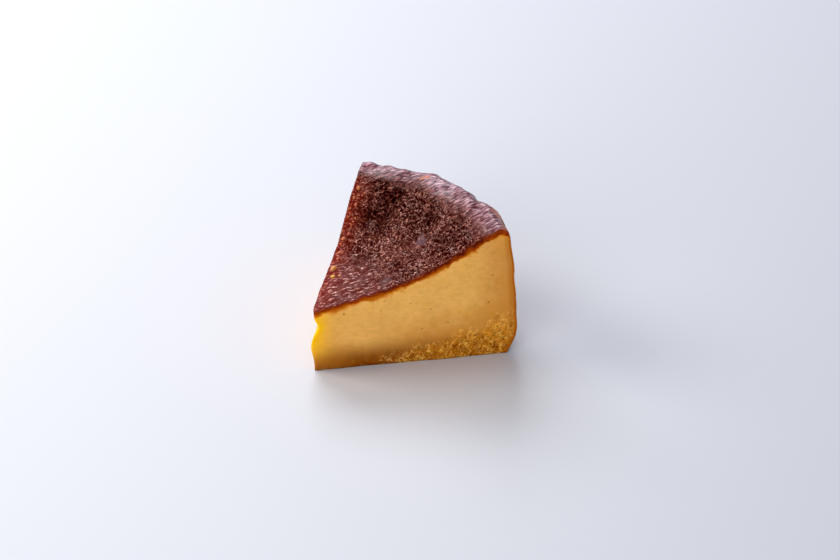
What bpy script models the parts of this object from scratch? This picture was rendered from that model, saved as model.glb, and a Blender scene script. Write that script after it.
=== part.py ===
"""A slice of burnt cheesecake, cut from a tall round cake with a sunken, wrinkled top.

One solid: a wedge with two knife-cut faces, a bulging outer wall pleated by baking paper,
a rounded rim and a dark top that falls towards the tip. The frame is in metres with +Z up.
The slice stands on Z = 0 with its box centred on the origin, its tip towards -Y.
Right means +X and left means -X.
"""

import math

import bmesh
import bpy
import numpy as np
from mathutils import Matrix

MM = 0.001
NODE = "cheesecake_slice"

# The wedge
WEDGE_ANGLE = math.radians(65.0)
RIM_RADIUS_RIGHT = 71.2 * MM
RIM_RADIUS_LEFT = 69.4 * MM

# Where the rim runs flatter than a circle, or stands out: place round the arc, depth, width
RIM_FLATS = (
    (0.21, -0.8 * MM, 0.03),
    (0.30, 1.9 * MM, 0.055),
    (0.44, 1.2 * MM, 0.12),
    (0.76, 1.7 * MM, 0.13),
)

# The sunken top, from its tip to its rim along the right and the left cut
TIP_HEIGHT = 26.4 * MM
SLOPE_RISE = (20.0 * MM, 16.3 * MM)
RIM_RISE = (12.0 * MM, 8.4 * MM)
RIM_RISE_START = (0.41, 0.45)
RIM_RISE_END = (1.12, 0.80)
SHOULDER_WIDTH = 4.0 * MM
SHOULDER_DROP = 3.0 * MM

# The outer wall, measured out from the rim
BELLY_OUT = 4.1 * MM
BELLY_HEIGHT = 9.5 * MM
FOOT_IN = 3.1 * MM
FOOT_POWER = 1.5
LIP_OUT = 2.2 * MM
LIP_REACH = 3.6 * MM

# Creases that the folded paper leaves in the wall: place round the arc from right (0) to left (1)
PAPER_CREASES = (0.09, 0.34, 0.52, 0.66, 0.81, 0.94)
CREASE_DEPTH = 1.3 * MM
CREASE_AT_RIM = 0.2
CREASE_WIDTH = 0.026
CREASE_SLANT = 0.035
WALL_SWELL = 0.5 * MM
WALL_SWELL_LENGTH = 15.0 * MM

# The tip, blunted by the knife, with a chip out of it and a swelling below the chip
TIP_BLUNTING = 0.9 * MM
CHIP_DEPTH = 1.7 * MM
CHIP_HEIGHT = 19.0 * MM
CHIP_SIZE = 2.8 * MM
TOE_OUT = 1.2 * MM
TOE_HEIGHT = 10.3 * MM
TOE_SIZE = 4.6 * MM
TIP_REACH = 4.5 * MM

# Relief of the top skin
TOP_SWELL = 0.55 * MM
TOP_SWELL_LENGTH = 19.0 * MM
TOP_WRINKLE = 0.3 * MM
TOP_WRINKLE_LENGTH = 6.5 * MM
RIM_PUCKER = 0.25 * MM
RIM_PUCKER_LENGTH = 8.0 * MM
RIM_PUCKER_WIDTH = 13.0 * MM

# Dents in the top: place along the slice (0 tip, 1 rim), place round the arc, depth, radius
TOP_DENTS = (
    (0.77, 0.79, 1.2 * MM, 7.5 * MM),
    (0.65, 0.32, 0.7 * MM, 3.6 * MM),
    (0.40, 0.16, 0.4 * MM, 3.5 * MM),
    (1.00, 0.86, 1.0 * MM, 3.6 * MM),
)

# Relief of the cut faces, which are smooth above and crumbly towards the bottom crust
CUT_SWELL = 0.22 * MM
CUT_SWELL_LENGTH = 17.0 * MM
CRUST_PROUD = 0.35 * MM
CRUST_THICK_TIP = 1.4 * MM
CRUST_THICK_RIM = 3.4 * MM
CRUMB_DEPTH = 0.45 * MM
CRUMB_LENGTH = 3.6 * MM
CRUMB_ZONE_TIP = 2.0 * MM
CRUMB_ZONE_RIM = 14.0 * MM
BASE_ROUNDING = 0.4 * MM
BASE_ROUNDING_HEIGHT = 1.8 * MM

# Mesh rows along the slice and layers up its sides
ROWS = 48
LAYERS = 24

# Colour of the baked top, the part's largest shade
CRUST_COLOUR = (0.115, 0.035, 0.021, 1.0)
CRUST_ROUGHNESS = 0.42
CUSTARD_COLOUR = (0.66, 0.34, 0.095, 1.0)
CUSTARD_ROUGHNESS = 0.5


def smooth_step(value):
    """0 below 0, 1 above 1, with an eased rise between."""
    value = np.clip(value, 0.0, 1.0)
    return value * value * (3.0 - 2.0 * value)


def blend(pair, share):
    """Goes from the first value of a pair to the second."""
    return pair[0] + (pair[1] - pair[0]) * share


def ripple(x, y, length, seed, waves=7):
    """A seeded undulation of about -1 to 1 whose waves are near the given length."""
    draw = np.random.default_rng(seed)
    total = np.zeros_like(x)
    for _ in range(waves):
        heading = draw.uniform(0.0, 2.0 * math.pi)
        pitch = length * draw.uniform(0.75, 1.35)
        phase = draw.uniform(0.0, 2.0 * math.pi)
        along = x * math.cos(heading) + y * math.sin(heading)
        total += np.sin(2.0 * math.pi * along / pitch + phase)
    return total / math.sqrt(2.0 * waves)


def rim_radius(around):
    """Radius of the rim, from the right cut (around 0) to the left cut (around 1)."""
    radius = blend((RIM_RADIUS_RIGHT, RIM_RADIUS_LEFT), smooth_step(around))
    for place, depth, width in RIM_FLATS:
        radius = radius - depth * np.exp(-(((around - place) / width) ** 2))
    return radius


def paper_creases(around, height, rim_height):
    """How far the paper's folds press into the wall, less so near the rim."""
    depth = np.zeros_like(around)
    for number, place in enumerate(PAPER_CREASES):
        slant = CREASE_SLANT * (-1.0) ** number * (1.0 - height / rim_height)
        offset = (around - place - slant) / CREASE_WIDTH
        depth += CREASE_DEPTH * np.exp(-np.abs(offset) ** 1.5)
    return depth * blend((1.0, CREASE_AT_RIM), smooth_step(height / rim_height))


def wall_radius(around, height, rim_height):
    """Radius of the outer wall at a height: a soft lip, a low belly and a drawn-in foot."""
    below_rim = np.clip(rim_height - height, 0.0, None)
    lip = LIP_OUT * (1.0 - np.exp(-below_rim / LIP_REACH))
    belly = (BELLY_OUT - LIP_OUT) * smooth_step(below_rim / (rim_height - BELLY_HEIGHT))
    foot_share = np.clip(1.0 - height / BELLY_HEIGHT, 0.0, 1.0)
    foot = FOOT_IN * foot_share**FOOT_POWER
    radius = rim_radius(around) + lip + belly - foot
    arc = around * WEDGE_ANGLE * RIM_RADIUS_RIGHT
    swell = WALL_SWELL * ripple(arc, height, WALL_SWELL_LENGTH, seed=3)
    return radius + swell - paper_creases(around, height, rim_height)


def top_profile(outward, around):
    """Height of the smooth top: a steady slope, then a steeper rise to the rim."""
    slope = blend(SLOPE_RISE, around) * outward
    start = blend(RIM_RISE_START, around)
    end = blend(RIM_RISE_END, around)
    rise = blend(RIM_RISE, around) * smooth_step((outward - start) / (end - start))
    from_rim = (1.0 - outward) * rim_radius(around)
    rounding = np.clip(1.0 - from_rim / SHOULDER_WIDTH, 0.0, 1.0) ** 2
    return TIP_HEIGHT + slope + rise - SHOULDER_DROP * rounding


def top_relief(outward, around):
    """Swells, wrinkles, puckers near the rim and a few dents of the top skin."""
    radius = outward * rim_radius(around)
    angle = (around - 0.5) * WEDGE_ANGLE
    x = -radius * np.sin(angle)
    y = radius * np.cos(angle)
    relief = TOP_SWELL * ripple(x, y, TOP_SWELL_LENGTH, seed=11)
    relief += TOP_WRINKLE * ripple(x, y, TOP_WRINKLE_LENGTH, seed=12)
    near_rim = np.clip(1.0 - (rim_radius(around) - radius) / RIM_PUCKER_WIDTH, 0.0, 1.0)
    arc = around * WEDGE_ANGLE * RIM_RADIUS_RIGHT
    relief += RIM_PUCKER * near_rim * ripple(arc, 0.25 * radius, RIM_PUCKER_LENGTH, seed=13)
    for place_out, place_round, depth, size in TOP_DENTS:
        dent_radius = place_out * rim_radius(place_round)
        dent_angle = (place_round - 0.5) * WEDGE_ANGLE
        gap_x = x + dent_radius * math.sin(dent_angle)
        gap_y = y - dent_radius * math.cos(dent_angle)
        relief -= depth * np.exp(-(gap_x**2 + gap_y**2) / size**2)
    return relief


def tip_shift(height):
    """How far the tip's edge stands back at a height: the chip above, the swelling below."""
    chip = CHIP_DEPTH * np.exp(-(((height - CHIP_HEIGHT) / CHIP_SIZE) ** 2))
    toe = TOE_OUT * np.exp(-(((height - TOE_HEIGHT) / TOE_SIZE) ** 2))
    return chip - toe


def cut_relief(radius, height, top_height, outward, seed):
    """How far a cut face stands out: the crust's edge proud, the crumb above the base pitted."""
    relief = CUT_SWELL * ripple(radius, height, CUT_SWELL_LENGTH, seed)
    crust = CRUST_THICK_TIP + (CRUST_THICK_RIM - CRUST_THICK_TIP) * outward**3
    relief += CRUST_PROUD * smooth_step(1.0 - (top_height - height) / crust)
    zone = CRUMB_ZONE_TIP + (CRUMB_ZONE_RIM - CRUMB_ZONE_TIP) * outward**1.5
    crumbly = smooth_step(1.0 - height / zone)
    pits = 0.5 + 0.5 * ripple(radius, height, CRUMB_LENGTH, seed + 1)
    relief -= CRUMB_DEPTH * crumbly * np.clip(pits, 0.0, 1.0)
    base_share = np.clip(1.0 - height / BASE_ROUNDING_HEIGHT, 0.0, 1.0)
    return relief - BASE_ROUNDING * base_share**2


def slice_points(outward, around, upward):
    """Places of points given along the slice, round its arc and up its height, each 0 to 1."""
    rim = rim_radius(around)
    top_height = top_profile(outward, around) + top_relief(outward, around)
    rim_height = top_profile(np.ones_like(outward), around)
    height = upward * top_height
    radius = outward * wall_radius(around, height * rim_height / top_height, rim_height)
    angle = (around - 0.5) * WEDGE_ANGLE
    x = -radius * np.sin(angle)
    y = radius * np.cos(angle)

    # A hyperbola in place of the wedge's sharp corner
    half = 0.5 * WEDGE_ANGLE
    y += np.hypot(radius * math.cos(half), TIP_BLUNTING) - radius * math.cos(half)
    shift = tip_shift(height) * np.exp(-((radius / TIP_REACH) ** 2))
    x += shift * math.sin(half)
    y += shift * math.cos(half)

    # Each cut face moves along its own normal, less and less towards the tip
    steady = smooth_step(radius / TIP_REACH)
    side = outward * rim
    for is_cut, sign, seed in ((around < 1e-3, 1.0, 21), (around > 1.0 - 1e-3, -1.0, 31)):
        relief = cut_relief(side, height, top_height, outward, seed)
        move = np.where(is_cut, relief * steady, 0.0)
        x += sign * math.cos(half) * move
        y -= math.sin(half) * move
    return np.stack((x, y, height), axis=1)


def subdivided_prism(rows, layers):
    """A three-sided prism with its tip at -Y, its sides in a grid and its top in triangles."""
    prism = bmesh.new()
    turned = Matrix.Rotation(math.pi, 4, "Z")
    bmesh.ops.create_cone(
        prism, cap_ends=True, segments=3, radius1=1.0, radius2=1.0, depth=1.0, matrix=turned
    )
    bottom = [face for face in prism.faces if face.normal.z < -0.5]
    bmesh.ops.delete(prism, geom=bottom, context="FACES_ONLY")
    upright = [e for e in prism.edges if abs(e.verts[0].co.z - e.verts[1].co.z) > 0.5]
    bmesh.ops.subdivide_edges(prism, edges=upright, cuts=layers - 1)
    level = [e for e in prism.edges if abs(e.verts[0].co.z - e.verts[1].co.z) < 1e-5]
    bmesh.ops.subdivide_edges(prism, edges=level, cuts=rows - 1, use_grid_fill=True)
    open_edges = [e for e in prism.edges if e.is_boundary]
    bmesh.ops.contextual_create(prism, geom=open_edges)
    return prism


def prism_shares(points):
    """Turns places on the prism into shares along the slice, round its arc and up its height."""
    tip = (1.0 - 2.0 * points[:, 1]) / 3.0
    half_width = math.cos(math.pi / 6.0)
    right = (1.0 + 2.0 * (points[:, 0] * half_width + 0.5 * points[:, 1])) / 3.0
    outward = np.clip(1.0 - tip, 0.0, 1.0)
    left = np.clip(outward - right, 0.0, 1.0)
    around = np.where(outward > 1e-6, left / np.maximum(outward, 1e-6), 0.5)
    upward = np.clip(points[:, 2] + 0.5, 0.0, 1.0)
    return outward, np.clip(around, 0.0, 1.0), upward


def make_mesh():
    """The slice's closed mesh, standing on Z = 0 with its box centred on the origin."""
    prism = subdivided_prism(ROWS, LAYERS)
    points = np.array([vertex.co[:] for vertex in prism.verts])
    placed = slice_points(*prism_shares(points))
    middle = 0.5 * (placed.min(axis=0) + placed.max(axis=0))
    placed[:, :2] -= middle[:2]
    for vertex, place in zip(prism.verts, placed):
        vertex.co = place
    bmesh.ops.recalc_face_normals(prism, faces=prism.faces)
    mesh = bpy.data.meshes.new(NODE)
    prism.to_mesh(mesh)
    prism.free()
    return mesh


def make_material(name, colour, roughness):
    """A plain baked-food material."""
    material = bpy.data.materials.new(name)
    material.use_nodes = True
    shader = material.node_tree.nodes["Principled BSDF"]
    shader.inputs["Base Color"].default_value = colour
    shader.inputs["Roughness"].default_value = roughness
    shader.inputs["Metallic"].default_value = 0.0
    material.diffuse_color = colour
    return material


def colour_faces(mesh):
    """Gives the top skin the crust's material, and every other face the custard's."""
    mesh.materials.append(make_material("burnt_crust", CRUST_COLOUR, CRUST_ROUGHNESS))
    mesh.materials.append(make_material("baked_custard", CUSTARD_COLOUR, CUSTARD_ROUGHNESS))
    for face in mesh.polygons:
        face.material_index = 0 if face.normal.z > 0.5 else 1


def main():
    for old in list(bpy.data.objects):
        bpy.data.objects.remove(old, do_unlink=True)
    parts = bpy.data.collections.new("burnt_cheesecake")
    bpy.context.scene.collection.children.link(parts)
    mesh = make_mesh()
    colour_faces(mesh)
    cake = bpy.data.objects.new(NODE, mesh)
    parts.objects.link(cake)
    mesh.shade_smooth()
    mesh.set_sharp_from_angle(angle=math.radians(40.0))


main()
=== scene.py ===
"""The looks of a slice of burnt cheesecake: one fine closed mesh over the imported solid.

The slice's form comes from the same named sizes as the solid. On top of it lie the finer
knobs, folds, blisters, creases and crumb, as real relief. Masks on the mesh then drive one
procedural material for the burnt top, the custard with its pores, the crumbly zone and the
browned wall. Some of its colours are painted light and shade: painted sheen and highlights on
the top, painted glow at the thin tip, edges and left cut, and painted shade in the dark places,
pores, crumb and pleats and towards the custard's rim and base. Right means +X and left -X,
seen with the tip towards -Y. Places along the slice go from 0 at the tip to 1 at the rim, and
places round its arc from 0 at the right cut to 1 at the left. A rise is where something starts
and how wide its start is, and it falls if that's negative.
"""

import math

import bmesh
import bpy
import numpy as np
from mathutils import Matrix, Vector, noise


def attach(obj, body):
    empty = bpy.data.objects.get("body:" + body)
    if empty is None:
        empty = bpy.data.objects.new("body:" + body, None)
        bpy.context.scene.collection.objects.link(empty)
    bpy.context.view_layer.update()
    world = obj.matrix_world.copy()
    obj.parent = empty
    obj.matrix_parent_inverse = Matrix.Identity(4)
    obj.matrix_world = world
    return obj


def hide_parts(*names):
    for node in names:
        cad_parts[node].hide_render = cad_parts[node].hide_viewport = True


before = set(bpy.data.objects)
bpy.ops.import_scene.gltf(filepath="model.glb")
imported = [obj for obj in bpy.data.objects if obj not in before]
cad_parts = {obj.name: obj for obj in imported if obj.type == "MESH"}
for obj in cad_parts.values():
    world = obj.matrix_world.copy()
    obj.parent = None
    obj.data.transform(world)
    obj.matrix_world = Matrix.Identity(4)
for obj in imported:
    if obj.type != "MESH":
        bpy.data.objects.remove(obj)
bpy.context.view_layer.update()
NODE = "cheesecake_slice"
SLOT = "baked_cheesecake"
MM = 0.001

# The wedge
WEDGE_ANGLE = math.radians(65)
HALF_WEDGE = 0.5 * WEDGE_ANGLE
RIM_RADIUS_RIGHT = 71.2 * MM
RIM_RADIUS_LEFT = 69.4 * MM

# Where the rim runs flatter than a circle, or stands out: place round its arc, depth, width
RIM_FLATS = (
    (0.21, -0.8 * MM, 0.03),
    (0.30, 1.9 * MM, 0.055),
    (0.44, 1.2 * MM, 0.12),
    (0.76, 1.7 * MM, 0.13),
)

# The sunken top, from its tip to its rim along the right and the left cut
TIP_HEIGHT = 26.4 * MM
SLOPE_RISE = (20 * MM, 16.3 * MM)
RIM_RISE = (12 * MM, 8.4 * MM)
RIM_RISE_START = (0.41, 0.45)
RIM_RISE_END = (1.12, 0.80)
SHOULDER_WIDTH = 4 * MM
SHOULDER_DROP = 3 * MM

# The outer wall, measured out from the rim
BELLY_OUT = 4.1 * MM
BELLY_HEIGHT = 9.5 * MM
FOOT_IN = 3.1 * MM
FOOT_POWER = 1.5
LIP_OUT = 2.2 * MM
LIP_REACH = 3.6 * MM

# Creases that the folded paper leaves in the wall: places round the arc
PAPER_CREASES = (0.09, 0.34, 0.52, 0.66, 0.81, 0.94)
CREASE_DEPTH = 1.3 * MM
CREASE_AT_RIM = 0.2
CREASE_WIDTH = 0.026
CREASE_SLANT = 0.035
WALL_SWELL = 0.5 * MM
WALL_SWELL_LENGTH = 15 * MM

# The tip, blunted by the knife, with a chip out of it and a swelling below the chip
TIP_BLUNTING = 0.9 * MM
CHIP_DEPTH = 1.7 * MM
CHIP_HEIGHT = 19 * MM
CHIP_SIZE = 2.8 * MM
TOE_OUT = 1.2 * MM
TOE_HEIGHT = 10.3 * MM
TOE_SIZE = 4.6 * MM
TIP_REACH = 4.5 * MM

# Broad relief of the top skin
TOP_SWELL = 0.55 * MM
TOP_SWELL_LENGTH = 19 * MM
TOP_WRINKLE = 0.3 * MM
TOP_WRINKLE_LENGTH = 6.5 * MM
RIM_PUCKER = 0.25 * MM
RIM_PUCKER_LENGTH = 8 * MM
RIM_PUCKER_WIDTH = 13 * MM

# Dents in the top: place along the slice, place round its arc, depth, radius
TOP_DENTS = (
    (0.77, 0.79, 1.2 * MM, 7.5 * MM),
    (0.65, 0.32, 0.7 * MM, 3.6 * MM),
    (0.40, 0.16, 0.4 * MM, 3.5 * MM),
    (1.00, 0.86, 1 * MM, 3.6 * MM),
)

# Broad relief of the cut faces
CUT_SWELL = 0.22 * MM
CUT_SWELL_LENGTH = 17 * MM
CRUST_PROUD = 0.35 * MM
CRUST_THICK_TIP = 1.4 * MM
CRUST_THICK_RIM = 3.4 * MM
BASE_ROUNDING = 0.4 * MM
BASE_ROUNDING_HEIGHT = 1.8 * MM

# Fine relief of the top skin: knobs in the middle, folds at the rim, crinkles by the tip. Sizes
# in pairs are across and along the lines, and a bend has a depth and a length.
KNOB_SPACING = 0.8 * MM
KNOB_STRETCH = 1.25
KNOB_HEIGHT = 0.12 * MM
KNOB_BEND = (0.28 * MM, 1.4 * MM)
GRIT_SIZE = (0.56 * MM, 0.756 * MM)
PIMPLE_HEIGHT = 0.02 * MM
FOLD_SIZE = (0.85 * MM, 3 * MM)
FOLD_HEIGHT = 0.08 * MM
FOLD_BEND = (1.1 * MM, 5 * MM)
CRINKLE_SIZE = (0.85 * MM, 2.2 * MM)
CRINKLE_HEIGHT = 0.07 * MM
CRINKLE_BEND = (0.5 * MM, 3 * MM)
KNOB_LINE_SIZE = 1.55 * MM
FOLD_LINE_SIZE = (0.8 * MM, 2.8 * MM)
CRINKLE_LINE_SIZE = (0.8 * MM, 2.2 * MM)

# The top's two bands, of which the rim's has one value by the right cut and one by the left
RIM_BAND_START = (0.82, 0.825)
RIM_BAND_WIDTH = (0.11, 0.14)
RIM_BAND_TURN = (0.35, 0.35)
RIM_GAP_WIDTH = 8 * MM
RIM_GAP_END = (0.88, 0.05)
TIP_BAND = (0.50, -0.22)
BAND_WANDER = 0.03

# Special places of the top: place along the slice, place round its arc, size in mm, strength. The smooth
# patches also carry a painted reflection, and the dark places are partly darker burning and partly
# painted shade.
SMOOTH_PATCHES = ((0.664, 0.322, 2.2, 0.9), (0.40, 0.155, 2.4, 0.5))
PALE_PLACES = ((0.55, 0.40, 10, 1), (0.60, 0.62, 6, 0.8))
DARK_PLACES = (
    (0.775, 0.79, 8, 1.15),
    (0.66, 0.87, 6.5, 0.8),
    (0.69, 0.73, 6, 1),
    (0.79, 0.65, 5, 0.6),
    (0.73, 0.15, 6.5, 0.65),
    (0.76, 0.43, 6, 0.8),
    (0.69, 0.60, 4, 0.5),
)

# A thin tear in the rim, as places along the slice and round its arc, and its size in mm
TEAR = ((0.914, 0.653), (0.920, 0.646), (0.926, 0.640), (0.930, 0.632), (0.934, 0.623))
TEAR_SIZE = 0.5

# Tints of the top, some of them painted sheen and painted glow, as widths and as rises along the slice
# or round its arc
BACK_RIM_SHEEN = (0.3, 0.2)
BACK_RIM_SHEEN_GAP = (0.72, 0.1)
LEFT_GLOW_WIDTH = 4.8 * MM
LEFT_GLOW_END = (0.78, 0.1)
BRINK_WIDTH = 1 * MM
EDGE_SHEEN_ROUND = (0.15, 0.15)
EDGE_GLOW_ROUND = (0.26, -0.1)
EDGE_GLOW_ALONG = (0.955, 0.04)

# Blisters of thin skin by the left cut: place along the slice, round its arc, radius in mm and
# yellowness. Small ones are scattered between them.
BLISTERS = (
    (0.315, 0.935, 1.25, 0.4), (0.266, 0.887, 0.85, 1), (0.282, 0.778, 0.55, 0.6),
    (0.774, 0.972, 0.75, 0.25), (0.717, 0.980, 0.55, 0.25), (0.688, 0.955, 0.65, 0.1),
    (0.545, 0.937, 0.62, 0), (0.512, 0.970, 0.75, 0.2), (0.483, 0.980, 0.50, 0.1),
    (0.385, 0.941, 0.60, 0.1),
)
SMALL_BLISTERS = 70
SMALL_BLISTER_RADIUS = (0.22, 0.44)
SMALL_BLISTER_REACH = 0.80
CLEAR_OF_BLISTERS = 2.4 * MM
BLISTER_BAND = 0.915
CELL_TABLE = 128

# Pores in both cuts, painted as dark spots of shade without relief: place along the slice, height and
# radius in mm, and how dark
PORES = (
    (0.159, 24.5, 0.55, 0.8), (0.364, 28.7, 0.35, 0.6), (0.340, 24.8, 0.40, 0.4),
    (0.487, 26.5, 0.40, 0.7), (0.586, 23.2, 0.38, 0.6), (0.602, 21.2, 0.35, 0.3),
    (0.664, 16.7, 0.50, 0.5), (0.537, 14.9, 0.50, 0.6), (0.865, 23.9, 0.45, 1),
    (0.799, 23.2, 0.35, 0.6), (0.893, 35.7, 0.42, 1), (0.783, 35.4, 0.35, 0.5),
    (0.906, 42.5, 0.55, 0.3), (0.910, 29.2, 0.35, 0.5), (0.742, 27.8, 0.30, 0.4),
    (0.672, 31.9, 0.30, 0.3), (0.418, 16.4, 0.35, 0.3), (0.848, 39.2, 0.30, 0.4),
)
PORE_STRETCH = 1.25
SMALL_PORE_SPACING = 4.2 * MM
SMALL_PORE_SIZE = 0.3 * MM

# The crumbly zone of the cuts: its height at the tip and at the rim, and its grains
CRUMB_REACH = (3 * MM, 21 * MM)
CRUMBLY = (0.25, 0.35)
GRAIN_SIZE = 0.8 * MM
GRAIN_LINE_SIZE = 1.8 * MM
GRAIN_HEIGHT = 0.3 * MM

# Fine relief and tints of the cuts, as rises towards the rim or by height, with painted shade and
# painted glow among them
CUT_WAVE = 0.05 * MM
CRUST_THINNING = (0.86, 0.06)
FRINGE_LENGTH = 3 * MM
FRINGE_FALLS = ((0.3, 0.4, 0.25), (0.35, 0.84, 0.08))
CHAR_START = (0.1, 0.15)
CHAR_END = (0.85, 0.06)
SHADE_BY_RIM = (0.75, 0.22)
SHADE_BELOW = (25 * MM, -14 * MM)
LOW_ON_CUT = (14 * MM, -12 * MM)
FOOT_SHADE = (2.5 * MM, -2.5 * MM)
TIP_GLOW_SIZE = 5 * MM
NEAR_TIP_SIZE = 12 * MM
CORNER_SIZE = (4.5 * MM, 9 * MM)
OUTER_EDGES = ((0.45, 3.2 * MM, -2 * MM), (0.55, 1.17 * MM, -0.9 * MM))
LEFT_SIDE = 0.6

# The wall's skin: creases and pebbles, the crust's ragged lower edge, and its tints, a painted glow by
# the right cut among them
WALL_STRETCH = np.array((1, 1, 0.4))
WALL_CREASE_SIZE = 2.6 * MM
WALL_CREASE_DEPTH = 0.3 * MM
PEBBLE_SIZE = 1 * MM
PEBBLE_HEIGHT = 0.1 * MM
WALL_LINE_SIZE = 4.2 * MM
WALL_EDGE = 3 * MM
WALL_EDGE_GLOW = (0.3, -0.1)
SCORCH = (0.66, 0.26)
LOW_ON_WALL = (8 * MM, -6 * MM)

# Mesh rows along the slice, layers up its sides, and how much closer the outer layers lie
ROWS = 290
LAYERS = 60
LAYER_CROWDING = 0.4

# The photograph's camera, by the point on the floor that its axis meets, measured from the tip
CAMERA_AZIMUTH = math.radians(48.5)
CAMERA_ELEVATION = math.radians(35.03)
CAMERA_DISTANCE = 1239 * MM
CAMERA_TARGET_FROM_TIP = (-17.8 * MM, 67.9 * MM)
CAMERA_LENS = 139.6
CAMERA_SENSOR = 36

# Soft boxes: name, azimuth from straight behind the slice as the camera sees it, elevation,
# distance, width, height, radiance, colour
SOFT_BOXES = (
    ("key_behind", -20, 44, 1, 0.7, 0.5, 6.15, (0.94, 0.95, 1)),
    ("side_left", -80, 40, 0.85, 0.34, 0.34, 8.2, (1, 0.975, 0.94)),
    ("fill_front", 205, 26, 1, 0.7, 0.7, 2.65, (1, 0.985, 0.96)),
)
HORIZON_LIGHT = (0.58, 0.635, 0.76, 1)
ZENITH_LIGHT = (0.12, 0.135, 0.17, 1)
HORIZON_FADE = (0.15, 0.8)
FLOOR_COLOUR = (0.73, 0.735, 0.765, 1)
FLOOR_SIZE = 6

# The slice's material: depth of its fine bumps, light in the custard, and the least coat that
# some masks of the crust keep
BUMP_DEPTH = 0.2 * MM
GLOW_RADIUS = (1, 0.5, 0.12)
GLOW_REACH = 3.5 * MM
LEAST_COAT = (("smooth", 0.5), ("rim", 0.2), ("back_rim_sheen", 0.8), ("tip_crust", 0.1))


def smooth_step(value):
    """0 below 0, 1 above 1, with an eased rise between."""
    value = np.clip(value, 0, 1)
    return value * value * (3 - 2 * value)


def rise(value, start, width):
    """0 up to the start and 1 a width past it, with an eased rise between."""
    return smooth_step((value - start) / width)


def bell(offset, width):
    """1 where the offset is 0, falling away on both sides over the width."""
    return np.exp(-((offset / width) ** 2))


def blend(pair, share):
    """Goes from the first value of a pair to the second."""
    return pair[0] + (pair[1] - pair[0]) * share


def ripple(x, y, length, seed, waves=7):
    """A seeded undulation of about -1 to 1 whose waves are near the given length."""
    draw = np.random.default_rng(seed)
    total = np.zeros_like(x)
    for _ in range(waves):
        heading = draw.uniform(0, 2 * math.pi)
        pitch = length * draw.uniform(0.75, 1.35)
        phase = draw.uniform(0, 2 * math.pi)
        along = x * math.cos(heading) + y * math.sin(heading)
        total += np.sin(2 * math.pi * along / pitch + phase)
    return total / math.sqrt(2 * waves)


def rim_radius(around):
    """Radius of the rim, from the right cut (around 0) to the left cut (around 1)."""
    radius = blend((RIM_RADIUS_RIGHT, RIM_RADIUS_LEFT), smooth_step(around))
    for place, depth, width in RIM_FLATS:
        radius = radius - depth * bell(around - place, width)
    return radius


def paper_creases(around, height, rim_height):
    """How far the paper's folds press into the wall, less so near the rim."""
    depth = np.zeros_like(around)
    for number, place in enumerate(PAPER_CREASES):
        slant = CREASE_SLANT * (-1) ** number * (1 - height / rim_height)
        offset = (around - place - slant) / CREASE_WIDTH
        depth += CREASE_DEPTH * np.exp(-np.abs(offset) ** 1.5)
    return depth * blend((1, CREASE_AT_RIM), smooth_step(height / rim_height))


def wall_radius(around, height, rim_height):
    """Radius of the outer wall at a height: a soft lip, a low belly and a drawn-in foot."""
    below_rim = np.clip(rim_height - height, 0, None)
    lip = LIP_OUT * (1 - np.exp(-below_rim / LIP_REACH))
    belly = (BELLY_OUT - LIP_OUT) * smooth_step(below_rim / (rim_height - BELLY_HEIGHT))
    foot_share = np.clip(1 - height / BELLY_HEIGHT, 0, 1)
    foot = FOOT_IN * foot_share**FOOT_POWER
    radius = rim_radius(around) + lip + belly - foot
    arc = around * WEDGE_ANGLE * RIM_RADIUS_RIGHT
    swell = WALL_SWELL * ripple(arc, height, WALL_SWELL_LENGTH, seed=3)
    return radius + swell - paper_creases(around, height, rim_height)


def top_profile(outward, around):
    """Height of the smooth top: a steady slope, then a steeper rise to the rim."""
    slope = blend(SLOPE_RISE, around) * outward
    start = blend(RIM_RISE_START, around)
    end = blend(RIM_RISE_END, around)
    rise = blend(RIM_RISE, around) * smooth_step((outward - start) / (end - start))
    from_rim = (1 - outward) * rim_radius(around)
    rounding = np.clip(1 - from_rim / SHOULDER_WIDTH, 0, 1) ** 2
    return TIP_HEIGHT + slope + rise - SHOULDER_DROP * rounding


def flat_place(outward, around):
    """Place on the top seen from above, with the sharp tip at the origin."""
    radius = outward * rim_radius(around)
    angle = (around - 0.5) * WEDGE_ANGLE
    return -radius * np.sin(angle), radius * np.cos(angle)


def gap_from(x, y, place_out, place_round):
    """Distance over the top from a place given along the slice and round its arc."""
    place_x, place_y = flat_place(np.float64(place_out), np.float64(place_round))
    return np.hypot(x - place_x, y - place_y)


def top_relief(outward, around):
    """Swells, wrinkles, puckers near the rim and a few dents of the top skin."""
    radius = outward * rim_radius(around)
    x, y = flat_place(outward, around)
    relief = TOP_SWELL * ripple(x, y, TOP_SWELL_LENGTH, seed=11)
    relief += TOP_WRINKLE * ripple(x, y, TOP_WRINKLE_LENGTH, seed=12)
    near_rim = np.clip(1 - (rim_radius(around) - radius) / RIM_PUCKER_WIDTH, 0, 1)
    arc = around * WEDGE_ANGLE * RIM_RADIUS_RIGHT
    relief += RIM_PUCKER * near_rim * ripple(arc, 0.25 * radius, RIM_PUCKER_LENGTH, seed=13)
    for place_out, place_round, depth, size in TOP_DENTS:
        relief -= depth * bell(gap_from(x, y, place_out, place_round), size)
    return relief


def tip_shift(height):
    """How far the tip's edge stands back at a height: the chip above, the swelling below."""
    chip = CHIP_DEPTH * bell(height - CHIP_HEIGHT, CHIP_SIZE)
    return chip - TOE_OUT * bell(height - TOE_HEIGHT, TOE_SIZE)


def crust_thickness(outward):
    """Depth of the dark crust on a cut face, thickest at the rim."""
    return CRUST_THICK_TIP + (CRUST_THICK_RIM - CRUST_THICK_TIP) * outward**3


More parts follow.
